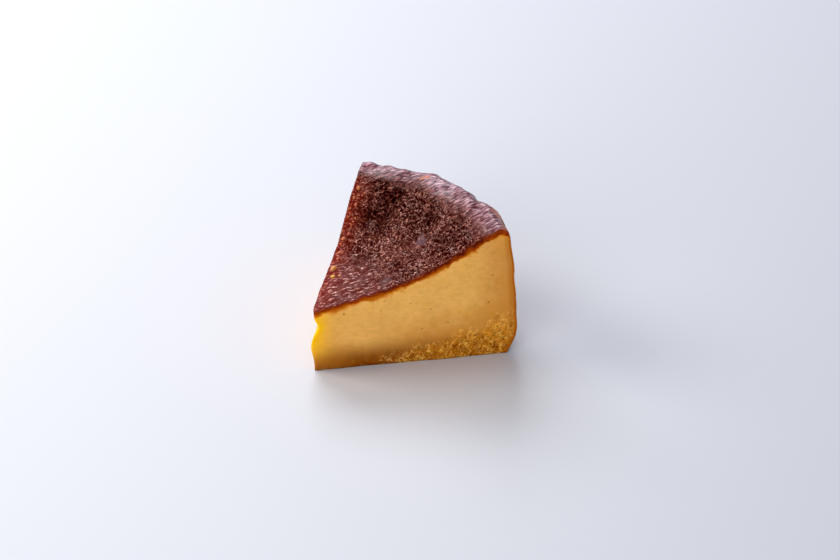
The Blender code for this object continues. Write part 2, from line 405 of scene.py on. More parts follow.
def cut_relief(radius, height, top_height, outward, seed):
    """How far a cut face stands out: the crust's edge proud, the base's edge rounded."""
    relief = CUT_SWELL * ripple(radius, height, CUT_SWELL_LENGTH, seed)
    depth_share = (top_height - height) / crust_thickness(outward)
    relief += CRUST_PROUD * smooth_step(1 - depth_share)
    base_share = np.clip(1 - height / BASE_ROUNDING_HEIGHT, 0, 1)
    return relief - BASE_ROUNDING * base_share**2


def slice_points(outward, around, upward):
    """Points given along the slice, round its arc and up its height, and the top's height there."""
    rim = rim_radius(around)
    top_height = top_profile(outward, around) + top_relief(outward, around)
    rim_height = top_profile(np.ones_like(outward), around)
    height = upward * top_height
    radius = outward * wall_radius(around, height * rim_height / top_height, rim_height)
    angle = (around - 0.5) * WEDGE_ANGLE
    x = -radius * np.sin(angle)
    y = radius * np.cos(angle)

    # A hyperbola in place of the wedge's sharp corner
    y += np.hypot(radius * math.cos(HALF_WEDGE), TIP_BLUNTING) - radius * math.cos(HALF_WEDGE)
    shift = tip_shift(height) * bell(radius, TIP_REACH)
    x += shift * math.sin(HALF_WEDGE)
    y += shift * math.cos(HALF_WEDGE)

    # Each cut face moves along its own normal, less and less towards the tip
    steady = smooth_step(radius / TIP_REACH)
    side = outward * rim
    for is_cut, sign, seed in ((around < 1e-3, 1, 21), (around > 1 - 1e-3, -1, 31)):
        relief = cut_relief(side, height, top_height, outward, seed)
        move = np.where(is_cut, relief * steady, 0)
        x += sign * math.cos(HALF_WEDGE) * move
        y -= math.sin(HALF_WEDGE) * move
    return np.stack((x, y, height), axis=1), top_height


def cut_radius(outward, around, height):
    """Distance from the tip of a place on a cut, which widens downwards with the outer wall."""
    rim_height = top_profile(1, around)
    rim_share = height / top_profile(outward, around)
    return outward * wall_radius(np.float64(around), rim_share * rim_height, rim_height)


def subdivided_prism(rows, layers):
    """A three-sided prism with its tip at -Y, its sides in a grid and its top in triangles."""
    prism = bmesh.new()
    turned = Matrix.Rotation(math.pi, 4, "Z")
    bmesh.ops.create_cone(
        prism, cap_ends=True, segments=3, radius1=1, radius2=1, depth=1, matrix=turned
    )
    bottom = [face for face in prism.faces if face.normal.z < -0.5]
    bmesh.ops.delete(prism, geom=bottom, context="FACES_ONLY")
    upright = [e for e in prism.edges if abs(e.verts[0].co.z - e.verts[1].co.z) > 0.5]
    bmesh.ops.subdivide_edges(prism, edges=upright, cuts=layers - 1)
    level = [e for e in prism.edges if abs(e.verts[0].co.z - e.verts[1].co.z) < 1e-5]
    bmesh.ops.subdivide_edges(prism, edges=level, cuts=rows - 1, use_grid_fill=True)
    open_edges = [e for e in prism.edges if e.is_boundary]
    bmesh.ops.contextual_create(prism, geom=open_edges)
    return prism


def prism_shares(points):
    """Turns places on the prism into shares along the slice, round its arc and up its height."""
    tip = (1 - 2 * points[:, 1]) / 3
    half_width = math.cos(math.pi / 6)
    right = (1 + 2 * (points[:, 0] * half_width + 0.5 * points[:, 1])) / 3
    outward = np.clip(1 - tip, 0, 1)
    left = np.clip(outward - right, 0, 1)
    around = np.where(outward > 1e-6, left / np.maximum(outward, 1e-6), 0.5)
    upward = np.clip(points[:, 2] + 0.5, 0, 1)
    return outward, np.clip(around, 0, 1), upward


def noise_at(points, length, seed):
    """Smooth noise of about -1 to 1 at an array of points, with features of the given length."""
    shift = Vector((17.3 * seed, -9.1 * seed, 5.7 * seed))
    scaled = points / length
    return np.array([noise.noise(Vector(place) + shift) for place in scaled])


def cells_at(x, y, size, seed):
    """Distance to the nearest point of a jittered grid, in grid steps, and that point's number."""
    draw = np.random.default_rng(seed)
    table = draw.random((CELL_TABLE, CELL_TABLE, 3))
    column, row = np.floor(x / size).astype(int), np.floor(y / size).astype(int)
    nearest = np.full(len(x), np.inf)
    number = np.zeros(len(x))
    for step_x in (-1, 0, 1):
        for step_y in (-1, 0, 1):
            cell_x, cell_y = column + step_x, row + step_y
            cell = table[cell_x % CELL_TABLE, cell_y % CELL_TABLE]
            gap = np.hypot(x / size - cell_x - cell[:, 0], y / size - cell_y - cell[:, 1])
            number = np.where(gap < nearest, cell[:, 2], number)
            nearest = np.minimum(gap, nearest)
    return nearest, number


class Skin:
    """The slice's points with their regions, relief and masks, filled in region by region."""

    def __init__(self, outward, around, upward, placed, top_height):
        self.outward = outward
        self.around = around
        self.placed = placed
        self.height = placed[:, 2].copy()
        self.top_height = top_height
        self.top = upward > 1 - 1e-4
        self.wall = (outward > 1 - 1e-4) & ~self.top
        self.cut = ~self.top & ~self.wall
        self.radius = outward * rim_radius(around)
        self.move = np.zeros(len(outward))
        self.masks = {}

    def put(self, where, **masks):
        """Sets masks and coordinates on the chosen points; they are 0 until they are set."""
        for name, values in masks.items():
            layer = self.masks.setdefault(name, np.zeros(len(self.outward)))
            layer[where] = values


def blister_places():
    """The named blisters and a seeded scatter of small ones along the left cut."""
    places = list(BLISTERS)
    draw = np.random.default_rng(41)
    for _ in range(SMALL_BLISTERS):
        along = SMALL_BLISTER_REACH * draw.uniform(0.01, 1) ** 0.6
        round_arc = 1 - (1 - BLISTER_BAND) * draw.uniform(0.1, 1) ** 1.3
        size = draw.uniform(*SMALL_BLISTER_RADIUS)
        tint = draw.uniform(-0.3, 0.2) + 0.6 * along**2
        x, y = flat_place(along, round_arc)
        if min(gap_from(x, y, *named[:2]) for named in BLISTERS) > CLEAR_OF_BLISTERS:
            places.append((along, round_arc, size, tint))
    return places


class TopSkin:
    """Places on the burnt top, and how much of it belongs to its rim and to its tip."""

    def __init__(self, outward, around):
        self.outward = outward
        self.around = around
        self.x, self.y = flat_place(outward, around)
        self.radius = outward * rim_radius(around)
        self.from_right = around * WEDGE_ANGLE * self.radius
        self.from_left = (1 - around) * WEDGE_ANGLE * self.radius
        self.along = self.x * math.sin(HALF_WEDGE) + self.y * math.cos(HALF_WEDGE)
        self.across = self.x * math.cos(HALF_WEDGE) - self.y * math.sin(HALF_WEDGE)
        self.fold_across = self.across + self.bend(FOLD_BEND, 19)
        self.crinkle_across = self.across + self.bend(CRINKLE_BEND, 24)
        self.grit = self.drawn_noise(self.across, GRIT_SIZE, 25)
        wandering = outward + BAND_WANDER * self.noise(8 * MM, 15)
        leftward = rise(around, *RIM_BAND_TURN)
        self.rim = rise(wandering, blend(RIM_BAND_START, leftward), blend(RIM_BAND_WIDTH, leftward))
        by_cut = bell(self.from_right, RIM_GAP_WIDTH)
        self.rim *= 1 - 0.8 * by_cut * (1 - rise(outward, *RIM_GAP_END))
        self.tip = rise(wandering, *TIP_BAND)

    def noise(self, length, seed):
        """Noise over the top with features of the given length."""
        return noise_at(np.stack((self.x, self.y, np.zeros_like(self.x)), axis=1), length, seed)

    def bend(self, bend, seed):
        """A sideways shift that keeps lines from running quite straight."""
        return bend[0] * self.noise(bend[1], seed)

    def drawn_noise(self, across, size, seed):
        """Noise in lines along the right cut, of the given size across and along them."""
        steps = (across / size[0], self.along / size[1], np.zeros_like(across))
        return noise_at(np.stack(steps, axis=1), 1, seed)

    def near(self, place_out, place_round, size):
        """1 at a place, falling away over the given size in mm."""
        return bell(gap_from(self.x, self.y, place_out, place_round), size * MM)

    def places(self, places):
        """The strongest of a list of places, each with its own strength."""
        return np.max([strength * self.near(*place) for *place, strength in places], axis=0)

    def smooth_patches(self):
        """1 in the few patches where the skin lies smooth."""
        smooth = np.zeros_like(self.x)
        for place_out, place_round, size, share in SMOOTH_PATCHES:
            gap = gap_from(self.x, self.y, place_out, place_round) / (size * MM)
            uneven = gap + 0.9 * self.noise(2 * MM, 27)
            smooth = np.maximum(smooth, share * (1 - rise(uneven, 0.2, 1.2)))
        return smooth

    def knobs(self):
        """Small knobs in the middle, uneven in size and crowded in some places."""
        drawn = (self.along + self.bend(KNOB_BEND, 16)) / KNOB_STRETCH
        across = self.across + self.bend(KNOB_BEND, 17)
        nearest, number = cells_at(drawn, across, KNOB_SPACING, 1)
        knob = rise(nearest, 0.58, -0.42) * (0.5 + 0.5 * number)
        knob = knob * (0.8 + 0.9 * self.grit) + 0.75 * np.clip(self.grit, 0, 1)
        crowded = smooth_step(0.62 + 1.3 * self.noise(9 * MM, 18))
        share = (0.8 + 0.2 * crowded) * (1 - 0.9 * self.rim) * (1 - 0.45 * self.tip)
        return np.clip(knob, 0, 1) * share

    def folds(self):
        """Folds by the rim that run along the right cut."""
        fold = self.drawn_noise(self.fold_across, FOLD_SIZE, 3)
        line = 0.9 - 2.4 * np.abs(fold) + 0.6 * self.grit
        return np.clip(line, 0, 1) * (0.1 + 0.9 * self.rim)

    def crinkles(self):
        """Short crinkles by the tip that run along the right cut."""
        crinkle = self.drawn_noise(self.crinkle_across, CRINKLE_SIZE, 4)
        line = 0.95 - 2.8 * np.abs(crinkle) + 0.5 * self.grit
        return np.clip(line, 0, 1) * (0.3 + 0.7 * self.tip) * (1 - 0.8 * self.rim)

    def blisters(self, relief):
        """Adds the blisters to the relief; also gives their mask and their yellowness."""
        blister = np.zeros_like(self.x)
        yellow = np.zeros_like(self.x)
        for place_out, place_round, size, tint in blister_places():
            radius = size * MM
            gap = gap_from(self.x, self.y, place_out, place_round) / radius
            dome = np.sqrt(np.clip(1 - gap**2, 0, 1))
            relief = np.where(gap < 1, relief * (1 - dome) + 0.6 * radius * dome, relief)
            blister = np.maximum(blister, rise(gap, 1.1, -0.4))
            yellow = np.where(gap < 1.2, tint, yellow)
        return relief, blister, np.clip(yellow, 0, 1)

    def line_places(self):
        """Coordinates in which the material draws the folds and the crinkles."""
        return {
            "fold_across": self.fold_across / FOLD_LINE_SIZE[0],
            "fold_along": self.along / FOLD_LINE_SIZE[1],
            "crinkle_across": self.crinkle_across / CRINKLE_LINE_SIZE[0],
            "crinkle_along": self.along / CRINKLE_LINE_SIZE[1],
        }

    def shades(self):
        """Masks of the places where the crust changes its colour, painted sheen, painted glow and
        painted shade among them.
        """
        # Dark places: partly darker burning, partly painted shade where the top faces away from the
        # light.
        hollow = self.places(DARK_PLACES) * (0.9 + 0.7 * self.noise(5 * MM, 21))
        paler = self.places(PALE_PLACES) * (0.8 + 0.8 * self.noise(4 * MM, 29))
        # A painted red glow by the left cut, where light shines through the thin skin.
        glow = bell(self.from_left, LEFT_GLOW_WIDTH) * (0.85 + 0.5 * self.noise(3 * MM, 22))
        glow *= 1 - 0.9 * rise(self.outward, *LEFT_GLOW_END)
        # The back of the rim gets a painted lavender sheen.
        gap_place, gap_width = BACK_RIM_SHEEN_GAP
        back = rise(self.around, *BACK_RIM_SHEEN) * (1 - 0.65 * bell(self.around - gap_place, gap_width))
        shoulder = rise(self.radius - rim_radius(self.around), -SHOULDER_WIDTH, SHOULDER_WIDTH)
        # The right end of the rim: its own orange, brightened by a painted glow through the thin edge.
        rust = rise(self.around, *EDGE_GLOW_ROUND) * smooth_step(0.6 + 1.8 * self.noise(3 * MM, 26))
        return {
            "rim": self.rim,
            "back_rim_sheen": self.rim * back,
            "tip_crust": self.tip,
            "hollow": np.clip(hollow, 0, 1),
            "paler": np.clip(paler, 0, 1),
            "glow": np.clip(glow, 0, 1),
            "brink": bell(self.from_right, BRINK_WIDTH),
            "shoulder": shoulder,
            # Painted sheen on the rim's edge.
            "painted_edge_sheen": shoulder * rise(self.around, *EDGE_SHEEN_ROUND),
            "rust": rust * rise(self.outward, *EDGE_GLOW_ALONG),
            "tear": np.max([self.near(*place, TEAR_SIZE) for place in TEAR], axis=0),
        }


def dress_top(skin):
    """The burnt top's fine relief and its masks."""
    where = np.nonzero(skin.top)[0]
    top = TopSkin(skin.outward[where], skin.around[where])
    knob, fold, crinkle = top.knobs(), top.folds(), top.crinkles()
    smooth = top.smooth_patches()
    relief = KNOB_HEIGHT * (knob - 0.3) + FOLD_HEIGHT * (fold - 0.3 * top.rim)
    relief += CRINKLE_HEIGHT * (crinkle - 0.3 * top.tip) + PIMPLE_HEIGHT * top.noise(0.7 * MM, 20)
    relief, blister, yellow = top.blisters(relief * (1 - 0.7 * smooth))
    skin.move[where] = relief
    skin.put(where, on_top=1, knob=knob, smooth=smooth, blister=blister, yellow=yellow)
    skin.put(where, **top.line_places(), **top.shades())


def crumb_masks(outward, height, placed):
    """How much crumb lies on the cuts, and how far its golden tint reaches past it."""
    zone = blend(CRUMB_REACH, outward**2) * (1 + 0.35 * noise_at(placed, 7 * MM, 8))
    zone *= 1 + 0.3 * noise_at(placed, 2.5 * MM, 10)
    crumbly = 0.15 + 0.85 * rise(outward, *CRUMBLY)
    return crumbly * rise(height / zone, 1.45, -1), crumbly * rise(height / zone, 2.1, -1.2)


def cut_shades(outward, radius, height, below_top):
    """Masks of the custard's tints: painted shade towards the rim and below, browning with painted shade
    at the base, a painted glow at the tip and at the upper outer corner, a tint near the tip and the
    darker outer edge.
    """
    from_rim = (1 - outward) * RIM_RADIUS_RIGHT
    # Painted shade: the cut darker towards the rim and below, where less light falls on it.
    shade = rise(outward, *SHADE_BY_RIM)
    shade += 0.8 * rise(height, *SHADE_BELOW) * rise(outward, *CRUMBLY)
    # Low down the custard is browned, and partly painted shade as well.
    low = rise(height, *LOW_ON_CUT)
    return {
        "shade": np.clip(shade, 0, 1),
        "low": low,
        # A painted glow where light shines through the thin tip.
        "tip": bell(radius, TIP_GLOW_SIZE) * (1 - low),
        "near_tip": bell(radius, NEAR_TIP_SIZE),
        "outer": sum(share * rise(from_rim, *edge) for share, *edge in OUTER_EDGES),
        # A painted glow where light shines through the upper outer corner.
        "corner": bell(from_rim, CORNER_SIZE[0]) * bell(below_top, CORNER_SIZE[1]),
    }


def dress_cuts(skin):
    """Relief and masks of the crust, the crumb and the custard on both cuts."""
    where = np.nonzero(skin.cut)[0]
    outward, height = skin.outward[where], skin.height[where]
    placed = skin.placed[where]
    below_top = skin.top_height[where] - height
    crumb, near_crumb = crumb_masks(outward, height, placed)
    crust = 1 - rise(below_top / crust_thickness(outward), 0.8, 0.4)
    coarse = noise_at(placed, 1.6 * MM, 9) * crumb
    coarse += 0.5 * noise_at(placed, 1.2 * MM, 12) * crust
    skin.move[where] = CUT_WAVE * noise_at(placed, 4 * MM, 11) + GRAIN_HEIGHT * coarse

    fringe = np.clip(0.8 + 1.1 * noise_at(placed, 5 * MM, 7), 0.4, 1)
    fringe *= 1 - sum(share * rise(outward, *fall) for share, *fall in FRINGE_FALLS)
    char = rise(outward, *CHAR_START) * smooth_step(0.75 + 1.6 * noise_at(placed, 5 * MM, 6))
    left_cut = np.where(skin.around[where] > LEFT_SIDE, 1, 0)
    shades = cut_shades(outward, skin.radius[where], height, below_top)
    shades["tip"] *= 1 - 0.55 * left_cut
    skin.put(
        where,
        on_cut=1,
        left_cut=left_cut,
        fringe=fringe * FRINGE_LENGTH / crust_thickness(outward),
        char=char * (1 - 0.6 * rise(outward, *CHAR_END)),
        crumb=crumb,
        near_crumb=near_crumb,
        # A painted shadow along the very base.
        foot=0.7 * rise(height, *FOOT_SHADE) * (1 - crumb),
        **shades,
    )
    thick = crust_thickness(skin.outward) * (1 - 0.15 * rise(skin.outward, *CRUST_THINNING))
    skin.masks["crust_depth"] = (skin.top_height - skin.height) / thick


def dress_wall(skin):
    """The wrinkled skin that the baking paper leaves."""
    where = np.nonzero(skin.wall)[0]
    placed, height = skin.placed[where], skin.height[where]
    around, top_height = skin.around[where], skin.top_height[where]
    upright = placed * WALL_STRETCH
    crease = 0.5 - 1.4 * np.abs(noise_at(upright, WALL_CREASE_SIZE, 13))
    skin.move[where] = WALL_CREASE_DEPTH * crease + PEBBLE_HEIGHT * noise_at(placed, PEBBLE_SIZE, 14)

    rim_height = top_profile(np.ones(len(where)), around)
    pleat = paper_creases(around, height / top_height * rim_height, rim_height) / CREASE_DEPTH
    edge = (top_height - height) / WALL_EDGE
    edge = 1 - smooth_step(edge + 0.5 * noise_at(placed, 2 * MM, 5))
    scorch = height / top_height + 0.12 * noise_at(placed, 6 * MM, 23)
    scorch += 0.1 * noise_at(upright, 2.2 * MM, 28)
    skin.put(
        where,
        wall=1,
        rim=1,
        on_top=edge,
        shoulder=edge,
        # The right end of the wall's top edge: its own orange, brightened by a painted glow through the
        # thin edge.
        rust=rise(around, *WALL_EDGE_GLOW),
        # Darker in the paper's pleats, partly as painted shade.
        pleat=np.clip(1.6 * pleat, 0, 1),
        crease=np.clip(0.5 + crease, 0, 1),
        scorch=rise(scorch, *SCORCH),
        low=rise(height, *LOW_ON_WALL),
    )


def make_slice():
    """The whole slice as one closed mesh, with its relief and its masks."""
    prism = subdivided_prism(ROWS, LAYERS)
    places = np.array([vertex.co[:] for vertex in prism.verts])
    outward, around, upward = prism_shares(places)
    upward = upward - LAYER_CROWDING * np.sin(2 * math.pi * upward) / (2 * math.pi)
    placed, top_height = slice_points(outward, around, upward)
    middle = 0.5 * (placed.min(axis=0) + placed.max(axis=0))
    placed[:, :2] -= middle[:2]
    for vertex, place in zip(prism.verts, placed):
        vertex.co = place
    bmesh.ops.recalc_face_normals(prism, faces=prism.faces)
    mesh = bpy.data.meshes.new(NODE + "_looks")
    prism.to_mesh(mesh)
    prism.free()

    skin = Skin(outward, around, upward, placed, top_height)
    dress_top(skin)
    dress_cuts(skin)
    dress_wall(skin)
    normals = np.empty(placed.size)
    mesh.vertices.foreach_get("normal", normals)
    grounded = smooth_step(skin.height / (1.2 * MM))
    placed = placed + normals.reshape(-1, 3) * (skin.move * grounded)[:, None]
    placed[:, 2] = np.where(upward < 1e-6, 0, placed[:, 2])
    mesh.vertices.foreach_set("co", placed.ravel())
    for name, values in skin.masks.items():
        layer = mesh.attributes.new(name, "FLOAT", "POINT")
        layer.data.foreach_set("value", values.astype(np.float32))
    mesh.shade_smooth()
    for face in mesh.polygons:
        if len(face.vertices) > 4:
            face.use_smooth = False
    mesh.update()
    return mesh, -middle[:2]


def rgb(*screen):
    """A colour from 8-bit screen values, as the linear values that nodes take."""
    share = np.array(screen) / 255
    linear = np.where(share <= 0.04045, share / 12.92, ((share + 0.055) / 1.055) ** 2.4)
    return (*linear, 1)


def add_node(tree, kind, inputs=(), **settings):
    """A new node with its settings and its inputs."""
    node = tree.nodes.new("ShaderNode" + kind)
    for name, value in settings.items():
        setattr(node, name, value)
    feed(tree, node, inputs)
    return node


def feed(tree, node, inputs):
    """Links a node's inputs to sockets or sets them."""
    for name, value in dict(inputs).items():
        if isinstance(value, bpy.types.NodeSocket):
            tree.links.new(value, node.inputs[name])
        else:
            node.inputs[name].default_value = value


class Tree:
    """A material's node tree, built one named step at a time."""

    def __init__(self, name):
        self.material = bpy.data.materials.new(name)
        self.material.use_nodes = True
        self.coordinates = self.node("TexCoord").outputs["Object"]

    def node(self, kind, inputs=(), **settings):
        """A new node in this tree."""
        return add_node(self.material.node_tree, kind, inputs, **settings)

    def finish(self, inputs):
        """Links or sets the shader's inputs and gives the material."""
        tree = self.material.node_tree
        feed(tree, tree.nodes["Principled BSDF"], inputs)
        return self.material

    def mask(self, name):
        """A number stored on the mesh."""
        return self.node("Attribute", attribute_name=name).outputs["Fac"]

    def maths(self, operation, first, second=0, clamp=False):
        """The result of one operation on two numbers."""
        inputs = {0: first, 1: second}
        return self.node("Math", inputs, operation=operation, use_clamp=clamp).outputs[0]

    def times(self, first, second):
        """The product of two numbers."""
        return self.maths("MULTIPLY", first, second)

    def less(self, first, second, clamp=False):
        """The first number less the second."""
        return self.maths("SUBTRACT", first, second, clamp)

    def most(self, first, second):
        """The larger of two numbers."""
        return self.maths("MAXIMUM", first, second)

    def mix(self, share, first, second):
        """Goes from the first colour to the second."""
        return self.node("Mix", {0: share, 6: first, 7: second}, data_type="RGBA").outputs[2]

    def tint(self, colour, name, share, paint):
        """Lays a paint over a colour by a mask, up to the given share."""
        return self.mix(self.times(self.mask(name), share), colour, paint)

    def level(self, share, first, second):
        """Goes from the first number to the second."""
        return self.node("Mix", {0: share, 2: first, 3: second}).outputs[0]

    def span(self, value, low, high, to_low=0, to_high=1):
        """Maps a number from one range to another, eased and held to the ends."""
        inputs = {"Value": value, "From Min": low, "From Max": high, "To Min": to_low, "To Max": to_high}
        return self.node("MapRange", inputs, interpolation_type="SMOOTHSTEP").outputs["Result"]

    def noise(self, vector, length, detail=2, rough=0.5, distort=0):
        """Noise of 0 to 1 over a vector, of the given length."""
        inputs = {"Vector": vector, "Scale": 1 / length, "Detail": detail, "Roughness": rough}
        return self.node("TexNoise", {**inputs, "Distortion": distort}).outputs["Fac"]

    def stretched(self, stretch):
        """The object's coordinates, scaled by three factors."""
        inputs = {"Vector": self.coordinates, "Scale": stretch}
        return self.node("Mapping", inputs).outputs["Vector"]

    def grain(self, length, detail=2, rough=0.5, stretch=(1, 1, 1)):
        """Noise of 0 to 1 over the object, of the given length."""
        return self.noise(self.stretched(stretch), length, detail, rough)

    def lines(self, value, width):
        """Thin lines where a noise crosses its middle."""
        off = self.maths("ABSOLUTE", self.less(value, 0.5))
        return self.span(off, 0.2 * width, width, 1, 0)

    def streaks(self, name, low, high):
        """Streaks along a pair of the mesh's coordinates."""
        join = self.node("CombineXYZ", {0: self.mask(name + "_across"), 1: self.mask(name + "_along")})
        return self.span(self.noise(join.outputs[0], 1, 3, 0.55), low, high)

    def spot(self, centre, size, stretch):
        """1 at a place on a cut and 0 away from it, drawn out sideways."""
        squeeze = (1 / stretch, 1 / stretch, 1)
        back = [-place * share for place, share in zip(centre, squeeze)]
        inputs = {0: self.coordinates, 1: squeeze, 2: back}
        offset = self.node("VectorMath", inputs, operation="MULTIPLY_ADD").outputs[0]
        gap = self.node("VectorMath", {0: offset}, operation="LENGTH").outputs["Value"]
        return self.span(gap, 0.4 * size, 1.3 * size, 1, 0)


def calm_patches(tree):
    """1 in the patches of the middle where few knobs stand out, and 0 elsewhere."""
    patch = tree.span(tree.grain(4 * MM, 3), 0.46, 0.68)
    away = tree.maths("ADD", tree.mask("rim"), tree.mask("tip_crust"), clamp=True)
    return tree.times(patch, tree.less(1, away))


def crust_lines(tree):
    """The crust's fine raised lines: worms in the middle, folds at the rim, crinkles by the tip."""
    broken = tree.span(tree.grain(0.7 * MM), 0.4, 0.58, 0.3, 1)
    worm = tree.lines(tree.noise(tree.coordinates, KNOB_LINE_SIZE, distort=0.8), 0.07)
    knob = tree.level(tree.span(tree.mask("knob"), 0.1, 0.8), 0.3, 1)
    knob = tree.times(tree.times(worm, knob), broken)
    fold = tree.times(tree.streaks("fold", 0.4, 0.66), tree.level(broken, 0.6, 1))
    crinkle = tree.times(tree.streaks("crinkle", 0.5, 0.68), broken)
    raised = tree.level(tree.mask("tip_crust"), knob, crinkle)
    raised = tree.level(tree.mask("rim"), raised, fold)
    calm = tree.most(tree.times(tree.mask("smooth"), 0.6), tree.times(calm_patches(tree), 0.3))
    return tree.times(raised, tree.less(1, calm))


def crust_colour(tree, raised):
    """Burnt skin: near-black between pale knobs, with a painted red glow by the left cut and a lavender
    rim that is partly painted sheen. The knobs' paleness is partly painted highlight, and the darkest
    places partly painted shade.
    """
    cloudy = tree.span(tree.grain(8 * MM, 3), 0.35, 0.65)
    dark = tree.mix(cloudy, rgb(36, 0, 0), rgb(58, 8, 3))
    dark = tree.mix(tree.times(calm_patches(tree), 0.3), dark, rgb(96, 44, 36))
    dark = tree.tint(dark, "paler", 0.4, rgb(104, 50, 40))
    # The raised lines' pale colours, here and in the mixes below, are partly their own lighter colour
    # and partly painted highlight.
    knob = tree.mix(cloudy, rgb(224, 134, 110), rgb(250, 168, 142))
    colour = tree.mix(raised, dark, knob)

    # The rim's lavender is partly painted sheen, most of all at the back of the rim.
    rim = tree.mix(raised, rgb(92, 48, 53), rgb(204, 152, 160))
    rim = tree.tint(rim, "back_rim_sheen", 1, tree.mix(raised, rgb(106, 56, 67), rgb(218, 164, 178)))
    colour = tree.tint(colour, "rim", 1, rim)
    tip = tree.mix(raised, rgb(108, 42, 36), rgb(250, 178, 160))
    colour = tree.tint(colour, "tip_crust", 0.85, tip)
    # Near-black in the dark places: partly darker burning, partly painted shade.
    hollow = tree.mix(raised, rgb(20, 0, 0), rgb(142, 62, 48))
    colour = tree.tint(colour, "hollow", 0.95, hollow)
    # A painted lavender reflection on the smooth patches.
    colour = tree.tint(colour, "smooth", 0.6, rgb(104, 74, 84))
    # A painted red glow by the left cut, where light shines through the thin skin.
    glow = tree.mix(raised, rgb(124, 32, 20), rgb(238, 132, 98))
    colour = tree.tint(colour, "glow", 0.85, glow)
    brink = tree.mix(raised, rgb(104, 34, 24), rgb(172, 92, 78))
    colour = tree.tint(colour, "brink", 0.35, brink)
    # Painted sheen on the rim's edge.
    colour = tree.tint(colour, "painted_edge_sheen", 0.3, rgb(150, 100, 100))
    # The right end of the rim: its own orange, brightened by a painted glow through the thin edge.
    colour = tree.tint(colour, "rust", 0.9, rgb(206, 104, 46))
    colour = tree.tint(colour, "tear", 0.8, rgb(232, 124, 30))
    blister = tree.mix(tree.mask("yellow"), rgb(206, 86, 56), rgb(242, 184, 48))
    return tree.tint(colour, "blister", 0.85, blister)


def cut_crust_colour(tree, depth):
    """The crust where the knife went through it: charred above, orange-brown below."""
    mottle = tree.span(tree.grain(1.2 * MM), 0.35, 0.65)
    brick = tree.mix(mottle, rgb(166, 66, 4), rgb(132, 40, 2))
    char = tree.times(tree.span(depth, 0.35, 0.75, 1, 0), tree.mask("char"))
    return tree.mix(tree.times(char, 0.9), brick, rgb(76, 8, 2))


def pore_share(tree, apex):
    """Where the cuts have pores, painted dark as their shade: the named ones on both, and small ones
    between them.
    """
    cells = {"Vector": tree.coordinates, "Scale": 1 / SMALL_PORE_SPACING}
    gap = tree.node("TexVoronoi", cells).outputs["Distance"]
    size = SMALL_PORE_SIZE / SMALL_PORE_SPACING
    share = tree.span(gap, 0.4 * size, size, 0.45, 0)
    for place_out, height, size, dark in PORES:
        for side, around in ((1, 0), (-1, 1)):
            radius = cut_radius(place_out, around, height * MM)
            x = apex[0] + side * radius * math.sin(HALF_WEDGE)
            centre = (x, apex[1] + radius * math.cos(HALF_WEDGE), height * MM)
            spot = tree.times(tree.spot(centre, 0.8 * size * MM, PORE_STRETCH), dark)
            share = tree.most(share, spot)
    return share


def crumb_clumps(tree):
    """1 where the crumb is loose and pale, 0 where it lies pressed and brown."""
    return tree.span(tree.grain(3.2 * MM), 0.38, 0.6)


def crumb_grains(tree):
    """The crumb's short raised grains, curled and broken, and calmer on the left cut."""
    curl = tree.lines(tree.noise(tree.coordinates, GRAIN_LINE_SIZE, distort=1), 0.13)
    curl = tree.times(curl, tree.span(tree.grain(GRAIN_SIZE), 0.4, 0.54))
    crowd = tree.span(tree.grain(2.5 * MM, 3), 0.36, 0.58, 0.35, 1)
    curl = tree.times(tree.times(curl, crowd), tree.level(crumb_clumps(tree), 0.5, 1))
    return tree.times(curl, tree.level(tree.mask("left_cut"), 1, 0.6))


def crumb_share(tree, grains):
    """How much crumb covers the cut: all of it low down, single grains higher up."""
    bare = tree.times(tree.less(1, grains), 0.6)
    return tree.less(tree.times(tree.mask("crumb"), 1.6), bare, clamp=True)


def crumb_colour(tree, grains):
    """Golden crumb: an uneven orange-brown ground with paler grains and dark gaps, partly painted
    highlight on the grains and painted shade in the gaps.
    """
    # Dark gaps between the grains: painted shade.
    dark = tree.span(tree.grain(1.7 * GRAIN_SIZE, 3, 0.6), 0.38, 0.48, 0.85, 0)
    dark = tree.times(dark, tree.level(tree.mask("left_cut"), 1, 0.6))
    ground = tree.mix(tree.mask("low"), rgb(246, 164, 46), rgb(186, 106, 2))
    ground = tree.mix(tree.level(crumb_clumps(tree), 0.55, 0), ground, rgb(168, 92, 6))
    colour = tree.mix(dark, ground, rgb(122, 54, 2))
    # Paler grains: partly their own colour, partly painted highlight.
    pale = tree.mix(tree.mask("crumb"), rgb(255, 206, 126), rgb(252, 192, 84))
    return tree.mix(grains, colour, pale)


